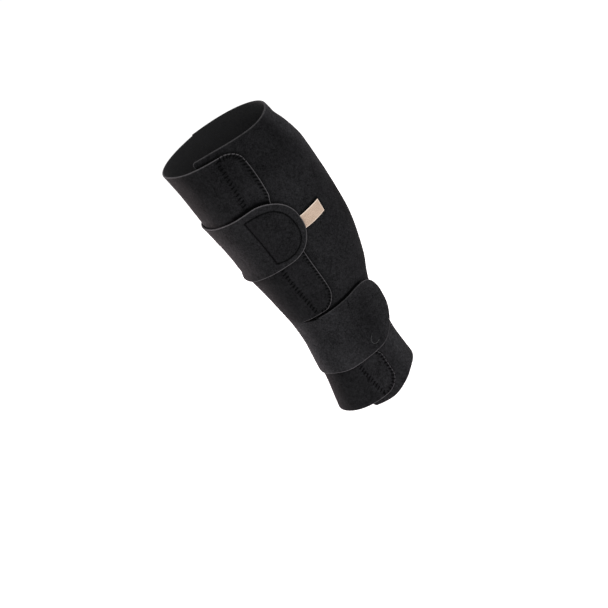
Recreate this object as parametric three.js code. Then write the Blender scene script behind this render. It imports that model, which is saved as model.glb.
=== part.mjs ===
// Calf compression wrap, closed as it is worn: a back panel of loop-faced foam cloth goes round the calf,
// a front flap crosses the shin and closes on the panel, and two straps tighten it. Open at both ends.
// Millimetres and degrees. +Z runs up, the shin faces -X, and the fastenings are on the -Y side.
// A turn is the angle round the axis: 0 at the shin, 90 at the fastening side, 180 at the calf, -90 opposite.
import * as THREE from "three";

// Driving dimensions: thicknesses, the gap between layers, and where the cloth is sewn and slit.
const clothThickness = 2.2;
const hookThickness = 0.8;
const labelThickness = 1.0;
const layerGap = 0.4;
const seamTurn = 285;
const seamGapTurn = 0.3;
const slitRootTurn = 45;
const slitHeight = -141.6;

// The form that the wrap is closed round: where shin and calf lie, and half its width from side to side.
const formStations = [
  { height: -275, shin: -49.6, calf: 51.4, halfWidth: 40.0 },
  { height: -255, shin: -46.4, calf: 49.4, halfWidth: 38.0 },
  { height: -220, shin: -40.2, calf: 46.9, halfWidth: 35.6 },
  { height: -190, shin: -37.6, calf: 48.2, halfWidth: 35.8 },
  { height: -155, shin: -37.4, calf: 51.6, halfWidth: 39.6 },
  { height: -120, shin: -41.6, calf: 64.0, halfWidth: 47.5 },
  { height: -80, shin: -48.0, calf: 73.4, halfWidth: 55.5 },
  { height: -40, shin: -51.6, calf: 76.4, halfWidth: 59.5 },
  { height: 0, shin: -57.0, calf: 76.0, halfWidth: 61.0 },
  { height: 40, shin: -59.4, calf: 71.2, halfWidth: 59.5 },
  { height: 80, shin: -65.2, calf: 59.6, halfWidth: 57.6 },
];
const shinTaper = 0.08;

// Where each strip of cloth starts or ends round the form.
const panelFreeTurn = 60;
const flapTipTurn = 90;
const bottomTabTip = 113;
const lowerStrapTip = 166;
const upperStrapRoot = -100;
const upperStrapTip = 104;
const labelRoot = 96.5;
const labelEnd = 126.6;
const tabTuckTurn = -50;

// Free edges of the cloth, each as a height at a turn, or a turn at a height.
const panelFreeEdge = [
  { height: -267, turn: 70 },
  { height: -80, turn: 57 },
  { height: 76, turn: panelFreeTurn },
];
const panelTop = [
  { turn: panelFreeTurn, height: 72.2 },
  { turn: 85, height: 72.6 },
  { turn: 135, height: 69.6 },
  { turn: 180, height: 71.5 },
  { turn: seamTurn, height: 72 },
];
const panelBottom = [
  { turn: panelFreeTurn, height: -266 },
  { turn: 90, height: -267 },
  { turn: 115, height: -261.5 },
  { turn: 140, height: -255 },
  { turn: 180, height: -252 },
  { turn: seamTurn, height: -258 },
];
const flapTip = [
  { height: -141, turn: 93.5 },
  { height: -118, turn: 92.6 },
  { height: -70, turn: flapTipTurn },
  { height: 0, turn: 94.5 },
  { height: 65, turn: 99.5 },
];
const flapTop = [
  { turn: -75, height: 71 },
  { turn: 0, height: 66.8 },
  { turn: 45, height: 65.4 },
  { turn: 100, height: 65.4 },
];
const flapBottom = [
  { turn: slitRootTurn, height: slitHeight },
  { turn: 58, height: -140.4 },
  { turn: 68, height: -138.7 },
  { turn: 100, height: -136.8 },
];
const lowerStrapTop = [
  { turn: slitRootTurn, height: slitHeight },
  { turn: 67, height: -142 },
  { turn: 90, height: -140 },
  { turn: 120, height: -136 },
  { turn: lowerStrapTip, height: -137.2 },
];
const lowerStrapBottom = [
  { turn: -75, height: -211.5 },
  { turn: 40, height: -211.6 },
  { turn: 68, height: -213.4 },
  { turn: 97, height: -211.4 },
  { turn: lowerStrapTip, height: -207.6 },
];
const bottomTabTop = [
  { turn: -75, height: -212.2 },
  { turn: tabTuckTurn, height: -212.2 },
  { turn: -10, height: -206 },
  { turn: bottomTabTip, height: -206 },
];
const bottomTabBottom = [
  { turn: -75, height: -259 },
  { turn: 0, height: -261 },
  { turn: 73, height: -261 },
  { turn: bottomTabTip, height: -257 },
];
const upperStrapTop = [
  { turn: upperStrapRoot, height: 2 },
  { turn: 25, height: -2.2 },
  { turn: 40, height: -1.5 },
  { turn: 60, height: 0.7 },
  { turn: 80, height: 3.6 },
  { turn: upperStrapTip, height: 4 },
];
const upperStrapBottom = [
  { turn: upperStrapRoot, height: -73 },
  { turn: 25, height: -74.9 },
  { turn: 56, height: -71.7 },
  { turn: 80, height: -68.4 },
  { turn: upperStrapTip, height: -67.4 },
];
const labelTop = [
  { turn: labelRoot, height: -31.9 },
  { turn: 112, height: -30.9 },
  { turn: labelEnd, height: -29 },
];
const labelBottom = [
  { turn: labelRoot, height: -46 },
  { turn: 112, height: -45.7 },
  { turn: labelEnd, height: -43.7 },
];

// Rounded corners: how far each runs along the cloth and across it.
const panelCorner = { along: 5, across: 5 };
const flapTopCorner = { along: 13.8, across: 14 };
const flapBottomCorner = { along: 18.3, across: 22 };
const bottomTabCorner = { along: 16, across: 16 };
const upperStrapRound = { along: 32, across: 33 };
const lowerStrapRound = { along: 38, across: 33.5 };

// How the cloth climbs over what lies under it. A lead is how far before an edge it is up.
const panelClimb = { length: 46, leadTurn: 1.5 };
const tabClimb = { start: 0.5, length: 22, leadTurn: 1 };
const hookClimb = { turn: 30, leadTurn: 4 };
const tipSettle = { turn: 10, leadTurn: 1.2 };

// The lower strap's tip stands off the calf, most in the middle of its width.
const tipLift = { height: 5, turn: 40, edgeShare: 0.5, inner: 8, outer: 36 };

// The hook pieces sewn under the tips.
const upperHook = { root: 64.5, tip: 97, top: -6.5, bottom: -62, along: 26, across: 25 };
const lowerHook = { root: 105, tip: 157, top: -146, bottom: -202, along: 30, across: 26 };
const hookStrip = { width: 25, edgeInset: 3, endInset: 8, tuckedEndInset: 4, roundEndInset: 16 };

// Cells of the sheets: rows from top to bottom, and columns about this many degrees wide.
const columnStep = 5;
const extraCornerColumns = 2;
const cornerCrowding = 1.4;
const rows = { panel: 22, flap: 14, strap: 7, bottomTab: 5, label: 3, hookStrip: 8, hookPatch: 6 };
const hookStripColumns = 5;

// The seam again, counted back from the shin, and heights of the layers above the form.
const seamBackTurn = seamTurn - 360;
const frontRootTurn = seamBackTurn + seamGapTurn;
const onCloth = clothThickness + layerGap;
const overHooks = onCloth + hookThickness + layerGap;

const radians = THREE.MathUtils.degToRad;
const mix = THREE.MathUtils.lerp;
const ease = THREE.MathUtils.smoothstep;
const clamp = THREE.MathUtils.clamp;

// Smooth value of a table's column where its key column has the value at.
function along(table, key, column, at) {
  const points = table.map((row) => [row[key], row[column]]);
  const last = points.length - 1;
  const slope = (i) => {
    const [x0, y0] = points[Math.max(i - 1, 0)];
    const [x1, y1] = points[Math.min(i + 1, last)];
    return (y1 - y0) / (x1 - x0);
  };
  const place = clamp(at, points[0][0], points[last][0]);
  let i = 0;
  while (i < last - 1 && points[i + 1][0] < place) i += 1;
  const [x0, y0] = points[i];
  const [x1, y1] = points[i + 1];
  const span = x1 - x0;
  const t = (place - x0) / span;
  const u = 1 - t;
  return (
    y0 * u * u * (1 + 2 * t) + y1 * t * t * (3 - 2 * t) +
    span * t * u * (slope(i) * u - slope(i + 1) * t)
  );
}

const heightAt = (table, turn) => along(table, "turn", "height", turn);
const turnAt = (table, height) => along(table, "height", "turn", height);

// Shape of the form's section at a height.
function section(height) {
  const column = (name) => along(formStations, "height", name, height);
  const shin = column("shin");
  const calf = column("calf");
  return { middle: (shin + calf) / 2, depth: (calf - shin) / 2, halfWidth: column("halfWidth") };
}

// Point at a turn and a height, lifted outwards from the form.
function formPoint(turn, height, lift) {
  const { middle, depth, halfWidth } = section(height);
  const a = radians(turn);
  const x = middle - depth * Math.cos(a);
  const y = -halfWidth * Math.sin(a) * (1 - shinTaper * Math.cos(a));
  const normal = new THREE.Vector2(
    -halfWidth * (Math.cos(a) - shinTaper * Math.cos(2 * a)),
    -depth * Math.sin(a),
  ).normalize();
  return new THREE.Vector3(x + normal.x * lift, y + normal.y * lift, height);
}

// Millimetres of cloth in one degree of turn.
function lengthOfTurn(turn, height) {
  const step = 1;
  return formPoint(turn - step, height, 0).distanceTo(formPoint(turn + step, height, 0)) / (2 * step);
}

// How far a corner draws an edge in, at a distance from the cloth's end.
function cornerInset(distance, { along: run, across }) {
  if (distance >= run) return 0;
  const share = (run - distance) / run;
  return across * (1 - Math.sqrt(1 - share * share));
}

// Turns of a strip's columns from root to tip, closer together round its corners.
function columnTurns(root, tip, cornerTurn) {
  const straight = tip - cornerTurn;
  const count = Math.max(1, Math.round((straight - root) / columnStep));
  const cornerCount = Math.ceil(cornerTurn / columnStep) + extraCornerColumns;
  const turns = Array.from({ length: count + 1 }, (_, i) => mix(root, straight, i / count));
  for (let i = 1; i <= cornerCount; i += 1) {
    turns.push(tip - cornerTurn * (1 - i / cornerCount) ** cornerCrowding);
  }
  return turns;
}

// A strip of cloth as a grid of turns and heights. edges(turn) gives its top and bottom, warp moves a turn.
function stripGrid({ turns, rowCount, edges, warp = (turn) => turn }) {
  return turns.map((turn) => {
    const { top, bottom } = edges(turn);
    return Array.from({ length: rowCount + 1 }, (_, row) => {
      const height = mix(top, bottom, row / rowCount);
      return { turn: warp(turn, height), height };
    });
  });
}

// Edges of a strip whose tip has both corners rounded.
function tippedEdges({ top, bottom, tip, corner, bottomCorner = corner, middleHeight }) {
  return (turn) => {
    const distance = (tip - turn) * lengthOfTurn(turn, middleHeight);
    return {
      top: heightAt(top, turn) - cornerInset(distance, corner),
      bottom: heightAt(bottom, turn) + cornerInset(distance, bottomCorner),
    };
  };
}

// A sheet is the places of its corners and the cells between them, counterclockwise seen from outside.
function sheetOf(grid) {
  const columnLength = grid[0].length;
  const cells = [];
  for (let i = 0; i + 1 < grid.length; i += 1) {
    for (let j = 0; j + 1 < columnLength; j += 1) {
      const corner = i * columnLength + j;
      cells.push([corner, corner + 1, corner + columnLength + 1, corner + columnLength]);
    }
  }
  return { places: grid.flat(), cells };
}

// Makes two sheets one where their corners share a place, as far as the slit's root.
function joined(first, second) {
  const name = ({ turn, height }) => `${turn.toFixed(4)} ${height.toFixed(4)}`;
  const places = [...first.places];
  const known = new Map(places.map((place, i) => [name(place), i]));
  const renumbered = second.places.map((place) => {
    const shared = place.turn <= slitRootTurn && known.has(name(place));
    return shared ? known.get(name(place)) : places.push(place) - 1;
  });
  const cells = second.cells.map((cell) => cell.map((i) => renumbered[i]));
  return { places, cells: [...first.cells, ...cells] };
}

// A sheet made into a closed wall: inner face at its lay, outer face above it, a rim on each free edge.
function wall({ places, cells }, lay, thickness) {
  const count = places.length;
  const lifted = (extra) => ({ turn, height }) => formPoint(turn, height, lay(turn, height) + extra);
  const points = [...places.map(lifted(0)), ...places.map(lifted(thickness))];
  const index = [];
  const edges = new Map();
  for (const [a, b, c, d] of cells) {
    index.push(count + a, count + b, count + c, count + a, count + c, count + d, a, c, b, a, d, c);
    for (const [from, to] of [[a, b], [b, c], [c, d], [d, a]]) edges.set(`${from} ${to}`, [from, to]);
  }
  for (const [from, to] of edges.values()) {
    if (edges.has(`${to} ${from}`)) continue;
    index.push(count + to, count + from, from, count + to, from, to);
  }
  const geometry = new THREE.BufferGeometry().setFromPoints(points).setIndex(index);
  geometry.computeVertexNormals();
  return geometry;
}

// Height of the flap and the tab above the form: nothing at the shin, then up over the panel and hooks.
function overPanel(turn, height) {
  const edge = turnAt(panelFreeEdge, height);
  const top = edge - panelClimb.leadTurn;
  return overHooks * ease(turn, top - panelClimb.length / lengthOfTurn(edge, height), top);
}

// Extra height of the lower strap where the bottom tab passes under its lower edge.
function overBottomTab(turn, height) {
  const above = Math.max(0, height - heightAt(bottomTabTop, turn));
  const past = Math.max(0, turn - bottomTabTip - tabClimb.leadTurn) * lengthOfTurn(turn, height);
  const near = 1 - ease(Math.hypot(above, past), tabClimb.start, tabClimb.length);
  return onCloth * near * ease(turn, seamBackTurn, tabTuckTurn);
}

function frontFlapLay(turn, height) {
  const middle = (lowerStrapTop.at(-1).height + lowerStrapBottom.at(-1).height) / 2;
  const offMiddle = ease(Math.abs(height - middle), tipLift.inner, tipLift.outer);
  const run = clamp(1 - (lowerStrapTip - turn) / tipLift.turn, 0, 1);
  const lift = tipLift.height * mix(1, tipLift.edgeShare, offMiddle) * run * run;
  return overPanel(turn, height) + overBottomTab(turn, height) + lift;
}

// The upper strap lies on the flap and its own hooks, and settles onto the panel past the flap's tip.
function upperStrapLay(turn, height) {
  const hookEdge = upperHook.root - hookClimb.leadTurn;
  const overHook = (hookThickness + layerGap) * ease(turn, hookEdge - hookClimb.turn, hookEdge);
  const high = onCloth + overPanel(turn, height) + overHook;
  const settled = onCloth + labelThickness + 2 * layerGap;
  const tip = turnAt(flapTip, height) + tipSettle.leadTurn;
  return mix(high, settled, ease(turn, tip, tip + tipSettle.turn));
}

function mainPanelGeometry() {
  const cornerTurn = panelCorner.along / lengthOfTurn(panelFreeTurn, 0);
  const turns = columnTurns(-seamTurn, -panelFreeTurn, cornerTurn).map((turn) => -turn).reverse();
  const edges = (turn) => {
    const inset = cornerInset((turn - panelFreeTurn) * lengthOfTurn(panelFreeTurn, 0), panelCorner);
    return { top: heightAt(panelTop, turn) - inset, bottom: heightAt(panelBottom, turn) + inset };
  };
  const warp = (turn, height) => {
    const share = (seamTurn - turn) / (seamTurn - panelFreeTurn);
    return turn + share * (turnAt(panelFreeEdge, height) - panelFreeTurn);
  };
  const grid = stripGrid({ turns, rowCount: rows.panel, edges, warp });
  return wall(sheetOf(grid), () => 0, clothThickness);
}

// The flap and the lower strap are one cut piece, parted by a slit that starts at the shin.
function frontFlapGeometry() {
  const rootCount = Math.round((slitRootTurn - frontRootTurn) / columnStep);
  const rootTurn = (_, i) => mix(frontRootTurn, slitRootTurn, i / rootCount);
  const rootTurns = Array.from({ length: rootCount }, rootTurn);
  const flapCornerTurn = flapBottomCorner.along / lengthOfTurn(flapTipTurn, 0);
  const flap = stripGrid({
    turns: [...rootTurns, ...columnTurns(slitRootTurn, flapTipTurn, flapCornerTurn)],
    rowCount: rows.flap,
    edges: tippedEdges({
      top: flapTop, bottom: flapBottom, tip: flapTipTurn,
      corner: flapTopCorner, bottomCorner: flapBottomCorner, middleHeight: 0,
    }),
    warp: (turn, height) => {
      const past = Math.max(0, turn - slitRootTurn) / (flapTipTurn - slitRootTurn);
      return turn + past * (turnAt(flapTip, height) - flapTipTurn);
    },
  });
  const strapCornerTurn = lowerStrapRound.along / lengthOfTurn(lowerStrapTip, slitHeight);
  const strap = stripGrid({
    turns: [...rootTurns, ...columnTurns(slitRootTurn, lowerStrapTip, strapCornerTurn)],
    rowCount: rows.strap,
    edges: tippedEdges({
      top: lowerStrapTop, bottom: lowerStrapBottom, tip: lowerStrapTip,
      corner: lowerStrapRound, middleHeight: slitHeight,
    }),
  });
  return wall(joined(sheetOf(flap), sheetOf(strap)), frontFlapLay, clothThickness);
}

function bottomTabGeometry() {
  const middleHeight = bottomTabTop[0].height;
  const cornerTurn = bottomTabCorner.along / lengthOfTurn(bottomTabTip, middleHeight);
  const grid = stripGrid({
    turns: columnTurns(frontRootTurn, bottomTabTip, cornerTurn),
    rowCount: rows.bottomTab,
    edges: tippedEdges({
      top: bottomTabTop, bottom: bottomTabBottom, tip: bottomTabTip, corner: bottomTabCorner, middleHeight,
    }),
  });
  return wall(sheetOf(grid), overPanel, clothThickness);
}

function upperStrapGeometry() {
  const middleHeight = upperStrapBottom[0].height / 2;
  const cornerTurn = upperStrapRound.along / lengthOfTurn(upperStrapTip, middleHeight);
  const grid = stripGrid({
    turns: columnTurns(upperStrapRoot, upperStrapTip, cornerTurn),
    rowCount: rows.strap,
    edges: tippedEdges({
      top: upperStrapTop, bottom: upperStrapBottom, tip: upperStrapTip, corner: upperStrapRound, middleHeight,
    }),
  });
  return wall(sheetOf(grid), upperStrapLay, clothThickness);
}

function labelGeometry() {
  const grid = stripGrid({
    turns: columnTurns(labelRoot, labelEnd, columnStep),
    rowCount: rows.label,
    edges: (turn) => ({ top: heightAt(labelTop, turn), bottom: heightAt(labelBottom, turn) }),
  });
  return wall(sheetOf(grid), () => onCloth, labelThickness);
}

// Hook strip sewn under a straight tip, a little inside the cloth's edge.
function hookStripGeometry({ tip, top, bottom }) {
  const place = (share, height) => {
    const edge = tip(height);
    const distance = mix(hookStrip.width, hookStrip.edgeInset, share);
    return { turn: edge - distance / lengthOfTurn(edge, height), height };
  };
  const grid = Array.from({ length: hookStripColumns + 1 }, (_, column) =>
    Array.from({ length: rows.hookStrip + 1 }, (_, row) =>
      place(column / hookStripColumns, mix(top, bottom, row / rows.hookStrip)),
    ),
  );
  return wall(sheetOf(grid), () => onCloth, hookThickness);
}

// D-shaped hook patch sewn under a round strap tip.
function hookPatchGeometry({ root, tip, top, bottom, along: run, across }, lay) {
  const middleHeight = (top + bottom) / 2;
  const cornerTurn = run / lengthOfTurn(tip, middleHeight);
  const level = (height) => [{ turn: root, height }, { turn: tip, height }];
  const grid = stripGrid({
    turns: columnTurns(root, tip, cornerTurn),
    rowCount: rows.hookPatch,
    edges: tippedEdges({
      top: level(top), bottom: level(bottom), tip, corner: { along: run, across }, middleHeight,
    }),
  });
  return wall(sheetOf(grid), (turn, height) => lay(turn, height) - layerGap - hookThickness, hookThickness);
}

function flapHookStripGeometry() {
  return hookStripGeometry({
    tip: (height) => turnAt(flapTip, height),
    top: flapTop.at(-1).height - hookStrip.endInset,
    bottom: flapBottom.at(-1).height + hookStrip.roundEndInset,
  });
}

function bottomTabHookStripGeometry() {
  return hookStripGeometry({
    tip: () => bottomTabTip,
    top: bottomTabTop.at(-1).height - hookStrip.tuckedEndInset,
    bottom: bottomTabBottom.at(-1).height + hookStrip.endInset,
  });
}

function clothMaterial(color, roughness) {
  return new THREE.MeshStandardMaterial({ color, roughness, metalness: 0 });
}
const loopCloth = clothMaterial(0x232226, 0.95);
const hookTape = clothMaterial(0x151517, 0.7);
const wovenLabel = clothMaterial(0xd8c3a5, 0.85);

const wrap = new THREE.Group();
function addPiece(name, geometry, material) {
  const mesh = new THREE.Mesh(geometry, material);
  mesh.name = name;
  wrap.add(mesh);
}

addPiece("main_panel", mainPanelGeometry(), loopCloth);
addPiece("front_flap", frontFlapGeometry(), loopCloth);
addPiece("bottom_tab", bottomTabGeometry(), loopCloth);
addPiece("upper_strap", upperStrapGeometry(), loopCloth);
addPiece("label_tab", labelGeometry(), wovenLabel);
addPiece("flap_hook_strip", flapHookStripGeometry(), hookTape);
addPiece("bottom_tab_hook_strip", bottomTabHookStripGeometry(), hookTape);
addPiece("upper_strap_hook_patch", hookPatchGeometry(upperHook, upperStrapLay), hookTape);
addPiece("lower_strap_hook_patch", hookPatchGeometry(lowerHook, frontFlapLay), hookTape);

export default wrap;
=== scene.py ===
import math

import bpy
import numpy as np
from mathutils import Matrix, Vector, kdtree, noise


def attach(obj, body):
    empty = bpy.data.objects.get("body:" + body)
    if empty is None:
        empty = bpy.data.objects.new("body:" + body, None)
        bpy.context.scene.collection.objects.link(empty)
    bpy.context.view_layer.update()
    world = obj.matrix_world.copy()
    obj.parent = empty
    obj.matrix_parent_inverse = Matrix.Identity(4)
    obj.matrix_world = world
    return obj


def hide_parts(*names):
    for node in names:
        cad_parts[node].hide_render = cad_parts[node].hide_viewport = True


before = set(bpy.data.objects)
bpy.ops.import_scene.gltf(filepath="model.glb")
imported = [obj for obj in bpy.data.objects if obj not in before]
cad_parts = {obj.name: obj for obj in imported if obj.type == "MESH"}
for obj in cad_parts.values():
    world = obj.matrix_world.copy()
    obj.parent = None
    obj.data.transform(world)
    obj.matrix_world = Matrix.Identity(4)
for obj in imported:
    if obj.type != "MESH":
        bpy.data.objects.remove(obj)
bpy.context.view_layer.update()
print("frame loaded:", len(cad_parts), "solids")

mm = 0.001

# The form that the wrap is closed round. Heights and widths are in mm, and a turn is the angle round it in
# degrees: 0 in front, 90 at the fastening side, 180 at the back.
wornForm = {
    "height": (-275, -255, -220, -190, -155, -120, -80, -40, 0, 40, 80),
    "shin": (-49.6, -46.4, -40.2, -37.6, -37.4, -41.6, -48.0, -51.6, -57.0, -59.4, -65.2),
    "calf": (51.4, 49.4, 46.9, 48.2, 51.6, 64.0, 73.4, 76.4, 76.0, 71.2, 59.6),
    "halfWidth": (40.0, 38.0, 35.6, 35.8, 39.6, 47.5, 55.5, 59.5, 61.0, 59.5, 57.6),
    "shinTaper": 0.08,
}

# Layers, in mm, as the solids have them. A lead is how many degrees beyond an edge the cloth stays up.
layers = {
    "cloth": 2.2,
    "hook": 0.8,
    "label": 1.0,
    "gap": 0.4,
    "climb": 46,  # how long the flap takes to climb over the panel's edge
    "climbLead": 1.5,
    "tabClimb": 22,
    "tabLead": 1,
    "tabFlat": 0.5,  # how far past the tab's edge the strap keeps its height
    "shinClimb": 38,  # longer in front, where the strap is taut
    "shinTurns": (12, 50),
}
onPanel = layers["cloth"] + layers["gap"]
overHooks = onPanel + layers["hook"] + layers["gap"]
seamTurn = 285
seamStart = seamTurn - 360
edgeSlack = 0.05  # a place this near to an edge, in mm, is on it
seamSlack = 0.01  # and this near to the seam, in degrees


def smoothAt(keys, values, at):
    keys = np.asarray(keys, float)
    values = np.asarray(values, float)
    last = len(keys) - 1
    before = np.maximum(np.arange(last + 1) - 1, 0)
    after = np.minimum(np.arange(last + 1) + 1, last)
    slope = (values[after] - values[before]) / (keys[after] - keys[before])
    at = np.clip(np.asarray(at, float), keys[0], keys[-1])
    i = np.clip(np.searchsorted(keys, at, side="left") - 1, 0, last - 1)
    span = keys[i + 1] - keys[i]
    t = (at - keys[i]) / span
    u = 1 - t
    ends = values[i] * u * u * (1 + 2 * t) + values[i + 1] * t * t * (3 - 2 * t)
    return ends + span * t * u * (slope[i] * u - slope[i + 1] * t)


def heightOf(edge, turn):
    return smoothAt(edge["turn"], edge["height"], turn)


def turnOf(edge, height):
    return smoothAt(edge["height"], edge["turn"], height)


def ease(value, low, high):
    t = np.clip((np.asarray(value, float) - low) / (high - low), 0, 1)
    return t * t * (3 - 2 * t)


def between(value, rise, full, fade, end):
    return ease(value, rise, full) * (1 - ease(value, fade, end))


def formPoints(turn, height, lift):
    turn, height, lift = np.broadcast_arrays(*(np.asarray(a, float) for a in (turn, height, lift)))
    columns = (wornForm[name] for name in ("shin", "calf", "halfWidth"))
    shin, calf, half = (smoothAt(wornForm["height"], column, height) for column in columns)
    angle = np.radians(turn)
    depth = (calf - shin) / 2
    x = (shin + calf) / 2 - depth * np.cos(angle)
    y = -half * np.sin(angle) * (1 - wornForm["shinTaper"] * np.cos(angle))
    outX = -half * (np.cos(angle) - wornForm["shinTaper"] * np.cos(2 * angle))
    outY = -depth * np.sin(angle)
    size = np.hypot(outX, outY)
    return np.stack([x + outX / size * lift, y + outY / size * lift, height], axis=-1) * mm


def lengthOfTurn(turn, height):
    gap = formPoints(np.asarray(turn) + 1, height, 0) - formPoints(np.asarray(turn) - 1, height, 0)
    return np.linalg.norm(gap, axis=-1) / (2 * mm)


# Cut outlines: edges as heights at turns or turns at heights, corners in mm, flat sizes in m.
slit = {"turn": 45, "height": -141.6}
panelCut = {
    "freeEdge": {"height": (-267, -80, 76), "turn": (70, 57, 60)},
    "top": {"turn": (60, 85, 135, 180, 285), "height": (72.2, 72.6, 69.6, 71.5, 72)},
    "bottom": {"turn": (60, 90, 115, 140, 180, 285), "height": (-266, -267, -261.5, -255, -252, -258)},
    "freeTurn": 60,
    "corner": (5, 5),
    "calfForm": {  # fuller at the back, and drawn in under the top edge
        "turns": (120, 160, 200, 250),
        "height": (-135, -110, -75, -45, -15, 8, 22, 34, 46, 57, 65, 76),
        "lift": (0, 0.8, 0.8, 0.4, 0.1, 1.0, 1.3, 0.4, -0.9, -2.5, -1.5, -0.3),
    },
    "flat": (0.262, 0.34),
    "area": 0.0705,
}
flapCut = {
    "tip": {"height": (-141, -118, -70, -5, 0, 8, 65), "turn": (93.5, 92.6, 90, 91.2, 92.2, 94.9, 99.5)},
    "top": {"turn": (-75, 0, 45, 100), "height": (71, 66.8, 65.4, 65.4)},
    "bottom": {"turn": (slit["turn"], 58, 68, 100), "height": (slit["height"], -140.4, -139.4, -136.9)},
    "tipTurn": 90,
    "corner": (13.8, 14),
    "bottomCorner": (18.3, 22),
    "shinForm": {  # fuller in front
        "lift": 0.9,
        "turns": (-72, -40, 6, 40),
        "heights": (-176, -152, -84, -62),
    },
    "flat": (0.21, 0.284),
    "area": 0.0485,
}
lowerStrapCut = {
    "top": {
        "turn": (slit["turn"], 67, 90, 106, 118, 130, 166),
        "height": (slit["height"], -142.3, -140.4, -138.4, -136.6, -135.7, -137.2),
    },
    "bottom": {"turn": (-75, 40, 68, 97, 166), "height": (-211.5, -211.6, -213.4, -211.4, -207.6)},
    "tipTurn": 166,
    "corner": (38, 33.5),
    "tipLift": {  # the round tip stands off the panel, most in the middle of its width
        "height": 5,
        "turn": 40,
        "edgeShare": 0.5,
        "inner": 8,
        "outer": 36,
    },
    "gapes": ({"edge": "top", "lift": 1.5, "width": 12, "turns": (45, 62, 126, 150)},),
}
bottomTabCut = {
    "top": {"turn": (-75, -50, -10, 113), "height": (-212.2, -212.2, -206, -206)},
    "bottom": {"turn": (-75, 0, 73, 113), "height": (-259, -261, -261, -257)},
    "tipTurn": 113,
    "coveredTurn": -50,  # the lower strap rises onto it from the seam to here
    "corner": (16, 16),
    "flat": (0.057, 0.15),
    "area": 0.0076,
}
upperStrapCut = {
    "top": {"turn": (-100, 25, 40, 60, 80, 104), "height": (2, -2.2, -1.5, 0.7, 3.6, 4)},
    "bottom": {"turn": (-100, 25, 56, 80, 104), "height": (-73, -74.9, -71.7, -68.4, -67.4)},
    "rootTurn": -100,
    "tipTurn": 104,
    "corner": (32, 33),
    "settleTurn": 10,
    "settleLead": 1.2,
    "hookRoot": 64.5,
    "hookLead": 4,
    "hookClimbTurn": 30,
    "gapes": (
        {"edge": "top", "lift": 1.5, "width": 10, "turns": (42, 64, 90, 103)},
        {"edge": "top", "lift": 0.6, "width": 8, "turns": (-80, -40, 24, 50)},
        {"edge": "bottom", "lift": 2.4, "width": 10, "turns": (-80, -40, 20, 48)},
    ),
    "flat": (0.078, 0.245),
    "area": 0.0172,
}
labelCut = {
    "top": {"turn": (96.5, 112, 126.6), "height": (-31.9, -30.9, -29)},
    "bottom": {"turn": (96.5, 112, 126.6), "height": (-46, -45.7, -43.7)},
    "rootTurn": 96.5,
    "endTurn": 126.6,
    "curl": 0.9,  # the free end stands up a little, its upper corner most
    "curlTurn": 106,
    "flat": (0.015, 0.038),
    "area": 0.00054,
}


# How high each piece lies above the form, in mm.
def overPanel(turn, height):
    edge = turnOf(panelCut["freeEdge"], height)
    climbTurn = layers["climb"] / lengthOfTurn(edge, height)
    start = edge - climbTurn - layers["climbLead"]
    return overHooks * ease((turn - start) / climbTurn, 0, 1)


def overBottomTab(turn, height):
    above = np.maximum(0, height - heightOf(bottomTabCut["top"], turn))
    past = np.maximum(0, turn - bottomTabCut["tipTurn"] - layers["tabLead"]) * lengthOfTurn(turn, height)
    climb = layers["tabClimb"] + layers["shinClimb"] * (1 - ease(turn, *layers["shinTurns"]))
    near = 1 - ease(np.hypot(above, past) / climb, layers["tabFlat"] / climb, 1)
    return onPanel * near * ease(turn, seamStart, bottomTabCut["coveredTurn"])


def gapingEdges(cut, turn, height):  # edges that stand off between some turns
    lift = 0
    for gape in cut["gapes"]:
        inside = heightOf(cut[gape["edge"]], turn) - height
        inside = inside if gape["edge"] == "top" else -inside
        along = between(turn, *gape["turns"]) * (inside >= -edgeSlack)
        lift = lift + gape["lift"] * along * (1 - ease(inside, 0, gape["width"]))
    return lift


def frontFlapLay(turn, height):
    cut = lowerStrapCut
    tip = cut["tipLift"]
    middle = (cut["top"]["height"][-1] + cut["bottom"]["height"][-1]) / 2
    reach = 1 - tip["edgeShare"] * ease(np.abs(height - middle), tip["inner"], tip["outer"])
    run = np.clip(1 - (cut["tipTurn"] - turn) / tip["turn"], 0, 1)
    lift = tip["height"] * reach * run * run + gapingEdges(cut, turn, height)
    shin = flapCut["shinForm"]
    lift = lift + shin["lift"] * between(turn, *shin["turns"]) * between(height, *shin["heights"])
    return overPanel(turn, height) + overBottomTab(turn, height) + lift


def upperStrapLay(turn, height):
    cut = upperStrapCut
    edge = cut["hookRoot"] - cut["hookLead"]
    overHook = (layers["hook"] + layers["gap"]) * ease(turn, edge - cut["hookClimbTurn"], edge)
    high = onPanel + overPanel(turn, height) + overHook
    settled = onPanel + layers["label"] + 2 * layers["gap"]
    past = turn - turnOf(flapCut["tip"], height) - cut["settleLead"]
    lift = high + (settled - high) * ease(past / cut["settleTurn"], 0, 1)
    return lift + gapingEdges(cut, turn, height)


def panelLay(turn, height):
    calf = panelCut["calfForm"]
    return between(turn, *calf["turns"]) * smoothAt(calf["height"], calf["lift"], height)


def labelLay(turn, height):
    cut = labelCut
    free = ease(turn, cut["curlTurn"], cut["endTurn"])
    bottom = heightOf(cut["bottom"], turn)
    twist = 1 + (height - bottom) / (heightOf(cut["top"], turn) - bottom)
    return onPanel + cut["curl"] * free * free * twist


# Grid of a cut: close rows and columns at the edges, where the cut rolls over.
edgeSteps = np.array([0, 0.3, 0.7, 1.2, 1.9, 2.8])
tipSteps = np.array([0, 0.12, 0.35, 0.7, 1.1, 1.6, 2.2, 3.0, 4.0, 5.2])
cornerLead = 3  # degrees of straight edge before a rounded corner that count as the tip


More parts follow.
